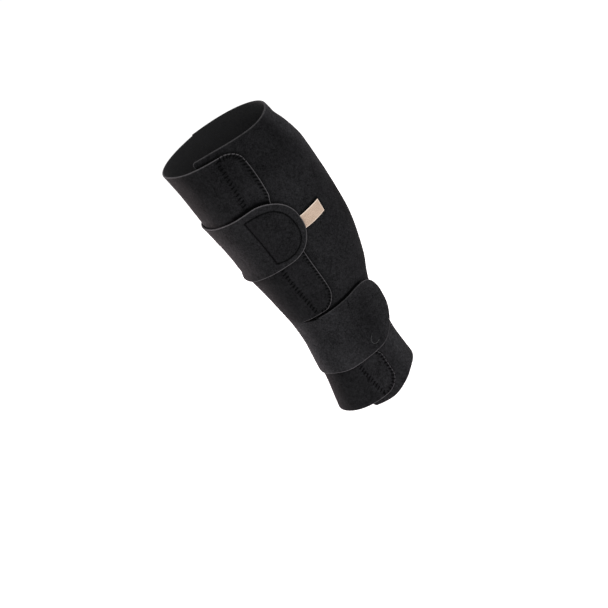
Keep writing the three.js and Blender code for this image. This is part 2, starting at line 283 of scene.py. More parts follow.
def spacedShares(length, step, first=edgeSteps, last=edgeSteps):
    count = max(2, round((length - first[-1] - last[-1]) / step))
    middle = np.linspace(first[-1], length - last[-1], count + 1)
    return np.concatenate([first[:-1], middle, (length - last[:-1])[::-1]]) / length


def turnColumns(root, tip, height, fineFrom, coarse, fine, first=edgeSteps, last=tipSteps):
    scale = float(lengthOfTurn((root + tip) / 2, height))
    begin = root + first / scale
    finish = tip - last[::-1] / scale
    coarseCount = max(1, round((fineFrom - begin[-1]) * scale / coarse))
    fineCount = max(1, round((finish[0] - fineFrom) * scale / fine))
    coarseTurns = np.linspace(begin[-1], fineFrom, coarseCount + 1)
    fineTurns = np.linspace(fineFrom, finish[0], fineCount + 1)
    return np.concatenate([begin[:-1], coarseTurns, fineTurns[1:], finish[1:]])


def cornerInset(distance, corner):
    along, across = corner
    share = np.clip((along - distance) / along, 0, 1)
    return across * (1 - np.sqrt(1 - share * share))


def stripGrid(turns, shares, top, bottom, warp=None):
    height = top[:, None] + (bottom - top)[:, None] * shares[None, :]
    turn = np.repeat(turns[:, None], len(shares), axis=1)
    if warp:
        turn = warp(turn, height)
    return turn, height


def tippedGrid(cut, turns, rowStep, middleHeight, warp=None):
    fromTip = (cut["tipTurn"] - turns) * lengthOfTurn(turns, middleHeight)
    top = heightOf(cut["top"], turns) - cornerInset(fromTip, cut["corner"])
    bottom = heightOf(cut["bottom"], turns) + cornerInset(fromTip, cut.get("bottomCorner", cut["corner"]))
    return stripGrid(turns, spacedShares(float(np.max(top - bottom)), rowStep), top, bottom, warp)


def tipOutline(grid, cut):  # from the top corner round the tip to the bottom corner
    turn, height = grid
    scale = float(lengthOfTurn(turn[-1, 0], height[-1, 0]))
    upper = turn[:, 0] > turn[-1, 0] - cut["corner"][0] / scale - cornerLead
    lower = turn[:, -1] > turn[-1, -1] - cut.get("bottomCorner", cut["corner"])[0] / scale - cornerLead
    path = [(turn[upper, 0], height[upper, 0]), (turn[-1, 1:-1], height[-1, 1:-1])]
    path.append((turn[lower, -1][::-1], height[lower, -1][::-1]))
    return tuple(np.concatenate(parts) for parts in zip(*path))


def gridCells(ids):
    corners = [ids[:-1, :-1], ids[:-1, 1:], ids[1:, 1:], ids[1:, :-1]]
    return np.stack(corners, axis=-1).reshape(-1, 4)


def sheetOf(grid):
    turn, height = grid
    ids = np.arange(turn.size).reshape(turn.shape)
    return {"turn": turn.ravel(), "height": height.ravel(), "cells": gridCells(ids)}


def freeEdges(cells, count):
    start = cells.ravel()
    end = np.roll(cells, -1, axis=1).ravel()
    free = ~np.isin(start * count + end, end * count + start)
    return start[free], end[free]


def nearest(points, path):
    tree = kdtree.KDTree(len(path))
    for i, p in enumerate(path):
        tree.insert(p, i)
    tree.balance()
    return np.array([tree.find(p)[2] for p in points]) / mm


def denser(path, step=0.35 * mm):
    pieces = []
    for a, b in zip(path[:-1], path[1:]):
        count = max(1, math.ceil(np.linalg.norm(b - a) / step))
        pieces.append(a + (b - a) * np.linspace(0, 1, count, endpoint=False)[:, None])
    return np.concatenate(pieces + [path[-1:]])


# Soft unevenness of worn foam cloth, kept off the places where hooks hold the layers together.
drape = {
    "dent": 0.55,
    "dentSize": 38,
    "ripple": 0.16,
    "rippleSize": 12,
    "seed": 4.7,
    "heldTurns": (40, 58, 104, 122),
    "strapHeldTurns": (40, 58, 172, 188),
    "strapDepths": (128, 142),  # the strap is this far below the origin
}


def drapeLift(turn, height):
    points = formPoints(turn, height, 0) / mm
    shift = Vector((drape["seed"],) * 3)
    dent = np.array([noise.noise(Vector(p) / drape["dentSize"] + shift) for p in points])
    ripple = np.array([noise.noise(Vector(p) / drape["rippleSize"] - shift) for p in points])
    held = between(turn, *drape["heldTurns"])
    strapHeld = between(turn, *drape["strapHeldTurns"]) * ease(-height, *drape["strapDepths"])
    free = 1 - np.maximum(held, strapHeld)
    return free * (drape["dent"] * dent + drape["ripple"] * ripple)


# The cut edge rolls over and is paler, partly the foam's own colour and partly painted highlight; sizes in
# mm.
rim = {"round": 0.5, "roundShare": 0.3, "roundLength": 1.4, "shadeStart": 0.1, "shadeLength": 1.15}

# How dark the pile is, partly from how flat each piece's nap lies and partly painted light: 1 is flat and
# dark, 0 stands up, and less is pale.
pile = {
    "topShadeHeights": (-10, 42),  # painted shade: every piece is darker towards the top
    "panel": {
        "hem": 0.28,
        "body": 0.57,
        "bodyHeights": (-215, -150),
        "backHighlight": 0.9,  # painted highlight towards the back
        "backHighlightTurns": (140, 160),
        "backHighlightHeights": (5, 35),
        # painted highlight up the hem at the back
        "hemHighlight": 0.8,
        "hemTurns": (126, 146),
        "hemHeights": (-215, -200),
    },
    "calf": {  # the back: painted highlight in its upper half and painted shade below it
        "turns": (143, 164, 190, 230),
        "height": (-170, -110, -75, -50, -34, -20, 0, 40, 76),
        "lie": (0, 0.15, 0.25, 0.45, 0.45, -0.6, -0.8, -0.8, -0.8),
    },
    # the flap's shin term is painted shade beside the shin
    "flap": {"low": 0.86, "high": 0.5, "heights": (-75, -45), "shin": 0.25, "shinTurns": (5, 15, 34, 44)},
    "strap": {  # stands up most, less where its hooks hold; its turn table is painted light round the front and painted shade just past the slit's root
        "hooked": 0.63,
        "hookedTurns": (78, 104, 122, 150),
        "turn": (-75, -20, 18, 33, 40, 48, 56, 66),
        "lie": (0, -0.3, -0.5, -0.5, -0.2, 0.2, 0.15, 0),
        "blend": 12,  # mm over which it meets the flap's pile, up to the slit
        "blendTurn": 15,
    },
    "tab": {"root": 0.85, "tip": 0.35, "turns": (70, 92)},
    "upperStrap": 0.5,
}


def mix(first, second, share):
    return first + (second - first) * share


def darkerTowardsTop(lie, height):
    return mix(lie, 1, ease(height, *pile["topShadeHeights"]))


def panelPileAndLight(turn, height):
    panel = pile["panel"]
    lie = darkerTowardsTop(mix(panel["hem"], panel["body"], ease(height, *panel["bodyHeights"])), height)
    backHighlight = ease(turn, *panel["backHighlightTurns"]) * ease(height, *panel["backHighlightHeights"])
    atHem = ease(turn, *panel["hemTurns"]) * (1 - ease(height, *panel["hemHeights"]))
    lie = lie * (1 - panel["backHighlight"] * backHighlight) - panel["hemHighlight"] * atHem
    calf = pile["calf"]
    return lie + between(turn, *calf["turns"]) * smoothAt(calf["height"], calf["lie"], height)


def tabPile(turn, height):
    tab = pile["tab"]
    return mix(tab["root"], tab["tip"], ease(turn, *tab["turns"]))


def upperStrapPileAndLight(turn, height):
    return darkerTowardsTop(pile["upperStrap"], height)


def flapPileAndLight(turn, height):  # the flap's above the slit and the lower strap's below it
    flap = pile["flap"]
    strap = pile["strap"]
    flapLieAndLight = darkerTowardsTop(mix(flap["low"], flap["high"], ease(height, *flap["heights"])), height)
    flapLieAndLight = flapLieAndLight + flap["shin"] * between(turn, *flap["shinTurns"])
    strapLieAndLight = strap["hooked"] * between(turn, *strap["hookedTurns"])
    strapLieAndLight = strapLieAndLight + smoothAt(strap["turn"], strap["lie"], turn)
    blend = edgeSlack + strap["blend"] * (1 - ease(turn, strap["blendTurn"], slit["turn"]))
    above = height - heightOf(lowerStrapCut["top"], turn) - edgeSlack
    return mix(strapLieAndLight, flapLieAndLight, ease(above / blend, -1, 1))


def insideShape(turn, height, shape):  # which places lie inside a closed outline
    shapeTurn, shapeHeight = np.array(shape["turn"], float), np.array(shape["height"], float)
    inside = np.zeros(len(turn), bool)
    ends = zip(shapeTurn, shapeHeight, np.roll(shapeTurn, -1), np.roll(shapeHeight, -1))
    for turnA, heightA, turnB, heightB in ends:
        level = (heightA > height) != (heightB > height)
        rise = heightB - heightA if heightB != heightA else 1
        inside ^= level & (turn < turnA + (turnB - turnA) * (height - heightA) / rise)
    return inside


def evenRim(turn, height):
    return np.ones(len(turn))


def cutEdge(sheet, middle, start, end):  # points along the free edges; the side seam has no cut edge
    sewn = np.abs((sheet["turn"] - seamTurn + 180) % 360 - 180) < seamSlack
    return np.concatenate([denser(middle[[a, b]]) for a, b in zip(start, end) if not (sewn[a] and sewn[b])])


def groovesAndShadeBy(seams, face):  # how deep the grooves lie, and the painted shade in seams, stitch hollows, the slit and along the edges of pieces that lie over the cloth
    relief = np.zeros(len(face))
    shade = np.zeros(len(face))
    for seam in seams:
        path = np.concatenate([denser(part) for part in seam["paths"]])
        bell = np.exp(-((nearest(face, path) / seam["width"]) ** seam["sharp"]))
        relief -= seam["depth"] * bell
        shade = np.maximum(shade, seam["shade"] * bell)
    return relief, shade


def overPatch(patch, turn, height, face, lift):  # where a hook patch shows through the cloth
    border = formPoints(*evenPath(patch["turn"], patch["height"], step=0.5), lift)
    return insideShape(turn, height, patch) * ease(nearest(face, border), 0, patch["soft"])


def addShades(mesh, shades):
    for shadeName, shade in shades.items():
        values = np.tile(shade, 2).astype(np.float32)
        mesh.attributes.new(shadeName, "FLOAT", "POINT").data.foreach_set("value", values)


def addPlace(mesh, turn, height):  # mm along and across the cloth, for its weave
    along = (turn - np.min(turn)) * float(lengthOfTurn(np.mean(turn), np.mean(height)))
    across = height - (np.max(height) + np.min(height)) / 2
    place = np.tile(np.column_stack([along, across, np.zeros(len(turn))]), (2, 1)).astype(np.float32)
    mesh.attributes.new("clothPlace", "FLOAT_VECTOR", "POINT").data.foreach_set("vector", place.ravel())


def clothPiece(
        name, sheet, lay, thickness, materials,
        seams=(), patch=None, rimGlow=evenRim, lie=None, drapeIt=True):
    turn, height, cells = sheet["turn"], sheet["height"], sheet["cells"]
    count = len(turn)
    base = lay(turn, height) + (drapeLift(turn, height) if drapeIt else 0)
    middle = formPoints(turn, height, base + thickness / 2)
    face = formPoints(turn, height, base + thickness)
    start, end = freeEdges(cells, count)
    fromEdge = nearest(middle, cutEdge(sheet, middle, start, end))
    share = np.clip(1 - fromEdge / rim["roundLength"], 0, 1)
    roll = min(rim["round"], thickness * rim["roundShare"]) * (1 - np.sqrt(1 - share * share))
    relief, seamShade = groovesAndShadeBy(seams, face)
    inner = formPoints(turn, height, base + roll)
    outer = formPoints(turn, height, base + thickness - roll + relief)
    rimCells = np.stack([end + count, start + count, start, end], axis=-1)
    faces = np.concatenate([cells + count, cells[:, ::-1], rimCells])
    mesh = bpy.data.meshes.new(name)
    mesh.from_pydata(np.concatenate([inner, outer]).tolist(), [], faces.tolist())
    for material in materials:
        mesh.materials.append(material)
    sides = [len(cells), len(cells), len(rimCells)]  # outside, inside and rim
    onInside = np.repeat([0, len(materials) - 1, 0], sides)
    mesh.polygons.foreach_set("material_index", onInside.astype(np.int32))
    mesh.polygons.foreach_set("use_smooth", np.ones(len(faces), bool))
    flat = np.zeros(count)
    edgeShade = 1 - ease(fromEdge, rim["shadeStart"], rim["shadeLength"])
    # the shades hold painted shade in seams and along overlying edges, the nap with painted light, and the
    # paler cut edge, partly painted highlight
    addShades(mesh, {
        "edgeShade": edgeShade * rimGlow(turn, height),
        "seamShade": seamShade,
        "hookShade": overPatch(patch, turn, height, face, np.mean(base) + thickness) if patch else flat,
        "napAndPaintedLight": lie(turn, height) if lie else flat,
    })
    addPlace(mesh, turn, height)
    mesh.validate()
    piece = bpy.data.objects.new(name, mesh)
    bpy.context.scene.collection.objects.link(piece)
    return piece


# Stitching: threads that lie on a piece, as thin tubes.
stitchedLift = 4  # about how high the sewn faces lie, in mm


def surfaceOf(lay, thickness=layers["cloth"]):
    return lambda turn, height, lift=0.0: formPoints(turn, height, lay(turn, height) + thickness + lift)


def evenPath(turn, height, step):
    fineCount = max(400, 6 * len(turn))
    fine = np.linspace(0, 1, fineCount)
    known = np.linspace(0, 1, len(turn))
    turn = smoothAt(known, turn, fine)
    height = smoothAt(known, height, fine)
    points = formPoints(turn, height, stitchedLift) / mm
    run = np.concatenate([[0], np.cumsum(np.linalg.norm(np.diff(points, axis=0), axis=1))])
    at = np.linspace(0, run[-1], max(2, round(run[-1] / step) + 1))
    return np.interp(at, run, turn), np.interp(at, run, height)


def besidePath(turn, height, across, along):  # places beside each point of a path, in mm
    scale = lengthOfTurn(turn, height)
    stepTurn = np.gradient(turn) * scale
    stepHeight = np.gradient(height)
    size = np.hypot(stepTurn, stepHeight)
    stepTurn, stepHeight = (stepTurn / size)[:, None], (stepHeight / size)[:, None]
    placeTurn = turn[:, None] + (stepTurn * along + stepHeight * across) / scale[:, None]
    return placeTurn, height[:, None] + stepHeight * along - stepTurn * across


uneven = np.random.default_rng(11)  # hand-guided stitches differ a little

# The thread's path in one stitch, step by step. Lifts and inward steps are in mm, the others are shares.
zigzagPath = {"lift": (-0.6, -0.12, 0.0, 0.04, 0.0, -0.12, -0.6), "uneven": 0.1}
straightPath = {"lift": (-0.35, 0.0, 0.08, 0.0, -0.35)}
overcastPath = {  # over the face, round the rim and under
    "reach": (1, 0.85, 0.5, 0.18, 0, 0, 0),
    "inward": (0, 0, 0, 0, 0.05, 0.05, 0.8),
    "slant": (-0.5, -0.4, -0.1, 0.3, 0.5, 0.5, 0.4),
    "lift": (-0.6, -0.1, 0.0, -0.1, -0.6, -1.6, -2.2),
    "shortInward": (0, 0, 0, 0.35, 0.6, 0.6, 0),  # where the thread stops short of the rim
    "shortLift": (0, 0, 0, -0.1, -0.4, 0, 0),
    "uneven": 0.12,
}
faceSteps = 4  # steps of an overcast stitch that lie on the face


def slantedStitches(surface, stitch):  # the return stroke of each zigzag sinks into the pile
    turn, height = evenPath(stitch["line"]["turn"], stitch["line"]["height"], stitch["pitch"])
    run = np.linspace(-0.5, 0.5, len(zigzagPath["lift"]))
    size = 1 + zigzagPath["uneven"] * uneven.standard_normal((len(turn), 1))
    places = besidePath(turn, height, size * run * stitch["width"], size * run * stitch["slant"])
    return list(surface(*places, np.array(zigzagPath["lift"])))


def edgeStitches(surface, outline, stitch):
    turn, height = evenPath(*outline, stitch["pitch"])
    path = {name: np.array(steps) for name, steps in overcastPath.items()}
    reach = np.linspace(*stitch["reach"], len(turn))[:, None]  # from the upper to the lower corner
    reach = reach * (1 + path["uneven"] * uneven.standard_normal((len(turn), 1)))
    share = np.linspace(0, 1, len(turn))[:, None]
    short = (share < stitch["over"][0]) | (share >= stitch["over"][1])
    inward = reach * path["reach"] + path["inward"] + short * path["shortInward"]
    lift = path["lift"] + short * path["shortLift"]
    return list(surface(*besidePath(turn, height, inward, stitch["slant"] * path["slant"]), lift))


def straightStitches(surface, line, stitch):
    steps = len(straightPath["lift"])
    turn, height = evenPath(line["turn"], line["height"], stitch["pitch"] / steps)
    lift = np.array(straightPath["lift"]) - stitch["sink"]
    starts = range(0, len(turn) - steps, steps)
    return [surface(turn[i:i + steps], height[i:i + steps], lift) for i in starts]


def threadPiece(name, lines, radius, material):
    curve = bpy.data.curves.new(name, "CURVE")
    curve.dimensions = "3D"
    curve.bevel_depth = radius * mm
    curve.bevel_resolution = 1
    curve.use_fill_caps = True
    for line in lines:
        spline = curve.splines.new("POLY")
        spline.points.add(len(line) - 1)
        spline.points.foreach_set("co", np.column_stack([line, np.ones(len(line))]).ravel())
        spline.use_smooth = True
    curve.materials.append(material)
    piece = bpy.data.objects.new(name, curve)
    bpy.context.scene.collection.objects.link(piece)
    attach(piece, "root")
    return piece


# Materials.
def newGroup(name, inputs, outputs):
    group = bpy.data.node_groups.new(name, "ShaderNodeTree")
    for socketName, kind, value in inputs:
        socket = group.interface.new_socket(socketName, in_out="INPUT", socket_type=kind)
        socket.default_value = value
    for socketName, kind in outputs:
        group.interface.new_socket(socketName, in_out="OUTPUT", socket_type=kind)
    return group, group.nodes.new("NodeGroupInput"), group.nodes.new("NodeGroupOutput")


def addNode(tree, kind, values=None, **settings):
    node = tree.nodes.new(kind)
    for key, value in settings.items():
        setattr(node, key, value)
    for key, value in (values or {}).items():
        node.inputs[key].default_value = value
    return node


def mathNode(tree, operation, first, second):
    node = addNode(tree, "ShaderNodeMath", operation=operation)
    for i, value in enumerate((first, second)):
        if isinstance(value, (int, float)):
            node.inputs[i].default_value = value
        else:
            tree.links.new(value, node.inputs[i])
    return node.outputs[0]


pileMix = {"tuftScale": 0.36, "fibre": 0.45, "tuft": 0.4, "loop": 0.25, "roughness": 0.9, "patchGloss": -0.2}
ribMix = {"cross": 0.5, "height": 0.3, "shade": 0.85, "shadeDepth": 0.5}


def pileGroup():
    floatKind = "NodeSocketFloat"
    group, start, end = newGroup(
        "clothPile",
        [("Fibre Size", floatKind, 0.7), ("Patch Size", floatKind, 26.0), ("Patch Depth", floatKind, 0.5)],
        [("Shade", floatKind), ("Height", floatKind), ("Roughness", floatKind)],
    )
    links = group.links
    place = addNode(group, "ShaderNodeTexCoord")
    fibreScale = mathNode(group, "DIVIDE", 1 / mm, start.outputs["Fibre Size"])
    tuftScale = mathNode(group, "MULTIPLY", fibreScale, pileMix["tuftScale"])
    patchScale = mathNode(group, "DIVIDE", 1 / mm, start.outputs["Patch Size"])
    fibre = addNode(group, "ShaderNodeTexNoise", {"Detail": 3.0, "Roughness": 0.65})
    tuft = addNode(group, "ShaderNodeTexNoise", {"Detail": 2.0, "Roughness": 0.6})
    loops = addNode(group, "ShaderNodeTexVoronoi", {"Randomness": 1.0})
    patch = addNode(group, "ShaderNodeTexNoise", {"Detail": 3.0, "Roughness": 0.55, "Distortion": 0.6})
    textures = ((fibre, fibreScale), (tuft, tuftScale), (loops, fibreScale), (patch, patchScale))
    for texture, scale in textures:
        links.new(place.outputs["Object"], texture.inputs["Vector"])
        links.new(scale, texture.inputs["Scale"])
    fibreShade = mathNode(group, "MULTIPLY", fibre.outputs["Fac"], pileMix["fibre"])
    tuftShade = mathNode(group, "MULTIPLY", tuft.outputs["Fac"], pileMix["tuft"])
    loopShade = mathNode(group, "MULTIPLY", loops.outputs["Distance"], pileMix["loop"])
    fine = mathNode(group, "ADD", mathNode(group, "ADD", fibreShade, tuftShade), loopShade)
    patchShade = mathNode(group, "SUBTRACT", patch.outputs["Fac"], 0.5)
    patchShade = mathNode(group, "MULTIPLY", patchShade, start.outputs["Patch Depth"])
    links.new(mathNode(group, "ADD", fine, patchShade), end.inputs["Shade"])
    links.new(fine, end.inputs["Height"])
    rough = mathNode(group, "MULTIPLY", patchShade, pileMix["patchGloss"])
    links.new(mathNode(group, "ADD", rough, pileMix["roughness"]), end.inputs["Roughness"])
    return group


def ribGroup():  # ribs of a knit or ribbon, one way and across
    floatKind = "NodeSocketFloat"
    group, start, end = newGroup(
        "threadRibs",
        [
            ("Place", "NodeSocketVector", (0, 0, 0)),
            ("Rib Width", floatKind, 1.1), ("Cross Width", floatKind, 0.8),
        ],
        [("Height", floatKind), ("Shade", floatKind)],
    )
    parts = addNode(group, "ShaderNodeSeparateXYZ")
    group.links.new(start.outputs["Place"], parts.inputs[0])
    waves = []
    for axis, width in (("X", "Rib Width"), ("Y", "Cross Width")):
        turns = mathNode(group, "DIVIDE", parts.outputs[axis], start.outputs[width])
        waves.append(mathNode(group, "SINE", mathNode(group, "MULTIPLY", turns, 2 * math.pi), 0.0))
    both = mathNode(group, "ADD", waves[0], mathNode(group, "MULTIPLY", waves[1], ribMix["cross"]))
    height = mathNode(group, "MULTIPLY", both, ribMix["height"])
    group.links.new(height, end.inputs["Height"])
    # painted shade in the troughs between ribs
    shade = mathNode(group, "MULTIPLY", height, ribMix["shadeDepth"])
    group.links.new(mathNode(group, "ADD", shade, ribMix["shade"]), end.inputs["Shade"])
    return group


def faceGroup():  # darker where the cloth is pressed, darker with painted shade and with the nap, lighter with painted light, and paler along its cut edges, partly painted highlight
    floatKind, colourKind = "NodeSocketFloat", "NodeSocketColor"
    group, start, end = newGroup(
        "wornFace",
        [
            ("Colour", colourKind, (0.02, 0.02, 0.02, 1)), ("Pile", floatKind, 0.5),
            ("Pressed", floatKind, 0.2), ("Painted Shade", floatKind, 0.9), ("Nap And Painted Light", floatKind, 0.5),
            ("Cut Colour", colourKind, (0.08, 0.08, 0.08, 1)), ("Cut Strength", floatKind, 1.5),
        ],
        [("Colour", colourKind)],
    )
    colour = start.outputs["Colour"]
    for shadeName, strength in (("hookShade", "Pressed"), ("seamShade", "Painted Shade"), ("napAndPaintedLight", "Nap And Painted Light")):
        shade = addNode(group, "ShaderNodeAttribute", attribute_name=shadeName)
        lost = mathNode(group, "MULTIPLY", shade.outputs["Fac"], start.outputs[strength])
        colour = mixColour(group, 1.0, colour, mathNode(group, "SUBTRACT", 1.0, lost), "MULTIPLY")
    edge = addNode(group, "ShaderNodeAttribute", attribute_name="edgeShade")
    paleAndLitEdge = mathNode(group, "MULTIPLY", edge.outputs["Fac"], start.outputs["Pile"])
    paleAndLitEdge = mathNode(group, "MULTIPLY", paleAndLitEdge, start.outputs["Cut Strength"])
    group.links.new(mixColour(group, paleAndLitEdge, colour, start.outputs["Cut Colour"]), end.inputs["Colour"])
    return group


def shadeRamp(tree, value, dark, light, low=0.31, high=0.77):
    ramp = addNode(tree, "ShaderNodeValToRGB")
    ramp.color_ramp.elements[0].position = low
    ramp.color_ramp.elements[0].color = (*dark, 1)
    ramp.color_ramp.elements[1].position = high
    ramp.color_ramp.elements[1].color = (*light, 1)
    tree.links.new(value, ramp.inputs["Fac"])
    return ramp.outputs["Color"]


def mixColour(tree, amount, first, second, blend="MIX"):
    node = addNode(tree, "ShaderNodeMix", data_type="RGBA", blend_type=blend, clamp_factor=True)
    for i, value in ((0, amount), (6, first), (7, second)):  # its sockets for colours
        if isinstance(value, (int, float)):
            node.inputs[i].default_value = value
        elif isinstance(value, tuple):
            node.inputs[i].default_value = (*value, 1)
        else:
            tree.links.new(value, node.inputs[i])
    return node.outputs[2]


clothPile = pileGroup()
threadRibs = ribGroup()
wornFace = faceGroup()


def addGroup(tree, group, values):
    return addNode(tree, "ShaderNodeGroup", values, node_tree=group)


def clothMaterial(look):
    material = bpy.data.materials.new(look["name"])
    material.use_nodes = True
    tree = material.node_tree
    shader = tree.nodes["Principled BSDF"]
    fibres = addGroup(tree, clothPile, look["pile"])
    colour = shadeRamp(tree, fibres.outputs["Shade"], look["dark"], look["light"])
    height = fibres.outputs["Height"]
    if "face" in look:
        face = addGroup(tree, wornFace, look["face"])
        tree.links.new(colour, face.inputs["Colour"])
        tree.links.new(fibres.outputs["Shade"], face.inputs["Pile"])
        colour = face.outputs["Colour"]
    if "ribs" in look:
        ribs = addGroup(tree, threadRibs, look["ribs"])
        place = addNode(tree, "ShaderNodeAttribute", attribute_name="clothPlace")
        tree.links.new(place.outputs["Vector"], ribs.inputs["Place"])
        height = mathNode(tree, "ADD", height, ribs.outputs["Height"])
        colour = mixColour(tree, 1.0, colour, ribs.outputs["Shade"], "MULTIPLY")
    tree.links.new(colour, shader.inputs["Base Color"])
    tree.links.new(fibres.outputs["Roughness"], shader.inputs["Roughness"])
    bump = addNode(tree, "ShaderNodeBump", look["bump"])
    tree.links.new(height, bump.inputs["Height"])
    tree.links.new(bump.outputs["Normal"], shader.inputs["Normal"])
    for key, value in look.get("sheen", {}).items():
        shader.inputs["Sheen " + key].default_value = value
    shader.inputs["Specular IOR Level"].default_value = look["specular"]
    return material


loopCloth = clothMaterial({
    "name": "loopCloth",
    "pile": {"Fibre Size": 1.2, "Patch Size": 24, "Patch Depth": 0.24},
    "dark": (0.0006, 0.0006, 0.0006),
    "light": (0.0238, 0.0237, 0.0256),
    "face": {
        "Pressed": 0.2, "Painted Shade": 0.9, "Nap And Painted Light": 0.5,
        "Cut Colour": (0.080, 0.076, 0.080, 1), "Cut Strength": 1.5,
    },
    "bump": {"Strength": 0.55, "Distance": 0.5 * mm},
    "sheen": {"Weight": 0.012, "Roughness": 0.4, "Tint": (0.95, 0.85, 0.9, 1)},
    "specular": 0.015,
})
innerJersey = clothMaterial({
    "name": "innerJersey",
    "pile": {"Fibre Size": 0.5, "Patch Size": 40, "Patch Depth": 0.2},
    "ribs": {"Rib Width": 1.2, "Cross Width": 0.9},
    "dark": (0.008, 0.008, 0.0085),
    "light": (0.021, 0.021, 0.022),
    "bump": {"Strength": 0.5, "Distance": 0.3 * mm},
    "sheen": {"Weight": 0.03, "Roughness": 0.5, "Tint": (0.9, 0.9, 0.9, 1)},
    "specular": 0.08,
})
hookTape = clothMaterial({
    "name": "hookTape",
    "pile": {"Fibre Size": 1.4, "Patch Size": 20, "Patch Depth": 0.1},
    "dark": (0.006, 0.006, 0.0065),
    "light": (0.018, 0.018, 0.019),
    "bump": {"Strength": 1.0, "Distance": 0.7 * mm},
    "specular": 0.3,
})
sewingThread = clothMaterial({
    "name": "sewingThread",
    "pile": {"Fibre Size": 0.25, "Patch Size": 8, "Patch Depth": 0.2},
    "dark": (0.0008, 0.0008, 0.0009),
    "light": (0.0030, 0.0030, 0.0032),
    "bump": {"Strength": 0.3, "Distance": 0.1 * mm},
    "specular": 0.0,
})
tackThread = clothMaterial({
    "name": "tackThread",
    "pile": {"Fibre Size": 0.25, "Patch Size": 8, "Patch Depth": 0.2},
    "dark": (0.03, 0.03, 0.031),
    "light": (0.075, 0.075, 0.077),
    "bump": {"Strength": 0.3, "Distance": 0.1 * mm},
    "specular": 0.1,
})
labelRibbon = clothMaterial({
    "name": "labelRibbon",
    "pile": {"Fibre Size": 0.45, "Patch Size": 14, "Patch Depth": 0.25},
    "ribs": {"Rib Width": 0.55, "Cross Width": 0.4},
    "dark": (0.33, 0.24, 0.178),
    "light": (0.49, 0.377, 0.297),
    "face": {
        "Pressed": 0.0, "Painted Shade": 0.0, "Nap And Painted Light": 0.0,
        "Cut Colour": (0.76, 0.63, 0.53, 1), "Cut Strength": 1.8,
    },
    "bump": {"Strength": 0.35, "Distance": 0.2 * mm},
    "sheen": {"Weight": 0.05, "Roughness": 0.4, "Tint": (1, 0.95, 0.85, 1)},
    "specular": 0.2,
})
print("materials made")

clothFaces = (loopCloth, innerJersey)


def dress(piece, node):
    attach(piece, "root")
    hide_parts(node)
    print(node, "dressed:", len(piece.data.polygons), "faces")


# Grids of all pieces first, because each one shades what it lies on. Steps are in mm, and columns are fine
# from one turn on, measured at one height.
gridSteps = {
    "panel": {"turn": 180, "height": -60, "column": 1.75, "row": 1.9},
    "root": {"height": -40, "fineFrom": 0, "coarse": 1.7, "fine": 1.5},
    "flap": {"height": 0, "fineFrom": 58, "coarse": 1.4, "fine": 0.85},
    "lowerStrap": {"height": -175, "fineFrom": 100, "coarse": 1.4, "fine": 1.0},
    "bottomTab": {"height": -230, "fineFrom": 70, "coarse": 1.7, "fine": 0.9},
    "upperStrap": {"height": -36, "fineFrom": 56, "coarse": 1.7, "fine": 0.85},
    "label": {"height": -38, "fineFrom": 100, "coarse": 1.0, "fine": 0.8},
}


def panelGrid():
    cut = panelCut
    steps = gridSteps["panel"]
    width = seamTurn - cut["freeTurn"]
    length = width * float(lengthOfTurn(steps["turn"], steps["height"]))
    turns = cut["freeTurn"] + width * spacedShares(length, steps["column"], first=tipSteps)
    inset = cornerInset((turns - cut["freeTurn"]) * lengthOfTurn(cut["freeTurn"], 0), cut["corner"])
    top = heightOf(cut["top"], turns) - inset
    bottom = heightOf(cut["bottom"], turns) + inset

    def warp(turn, height):
        share = (seamTurn - turn) / width
        return turn + share * (turnOf(cut["freeEdge"], height) - cut["freeTurn"])

    return stripGrid(turns, spacedShares(float(np.max(top - bottom)), steps["row"]), top, bottom, warp)


def flapWarp(turn, height):
    past = np.maximum(0, turn - slit["turn"]) / (flapCut["tipTurn"] - slit["turn"])
    return turn + past * (turnOf(flapCut["tip"], height) - flapCut["tipTurn"])


rootSteps = np.array([0.0, 0.8])
rootTurns = turnColumns(seamStart, slit["turn"], **gridSteps["root"], last=rootSteps)
flapColumns = turnColumns(slit["turn"], flapCut["tipTurn"], **gridSteps["flap"], first=rootSteps)
strapColumns = turnColumns(slit["turn"], lowerStrapCut["tipTurn"], **gridSteps["lowerStrap"], first=rootSteps)
tabColumns = turnColumns(seamStart, bottomTabCut["tipTurn"], **gridSteps["bottomTab"])
upperColumns = turnColumns(upperStrapCut["rootTurn"], upperStrapCut["tipTurn"], **gridSteps["upperStrap"])
labelColumns = turnColumns(labelCut["rootTurn"], labelCut["endTurn"], **gridSteps["label"])
flapTurns = np.concatenate([rootTurns, flapColumns[1:]])
strapTurns = np.concatenate([rootTurns, strapColumns[1:]])
flapGrid = tippedGrid(flapCut, flapTurns, rowStep=1.35, middleHeight=0, warp=flapWarp)
lowerStrapGrid = tippedGrid(lowerStrapCut, strapTurns, rowStep=1.2, middleHeight=slit["height"])
bottomTabGrid = tippedGrid(bottomTabCut, tabColumns, rowStep=1.1, middleHeight=-212)
upperStrapGrid = tippedGrid(upperStrapCut, upperColumns, rowStep=1.0, middleHeight=-36)
labelTop, labelBottom = (heightOf(labelCut[edge], labelColumns) for edge in ("top", "bottom"))
labelShares = spacedShares(float(np.max(labelTop - labelBottom)), step=0.8)
labelGrid = stripGrid(labelColumns, labelShares, labelTop, labelBottom)


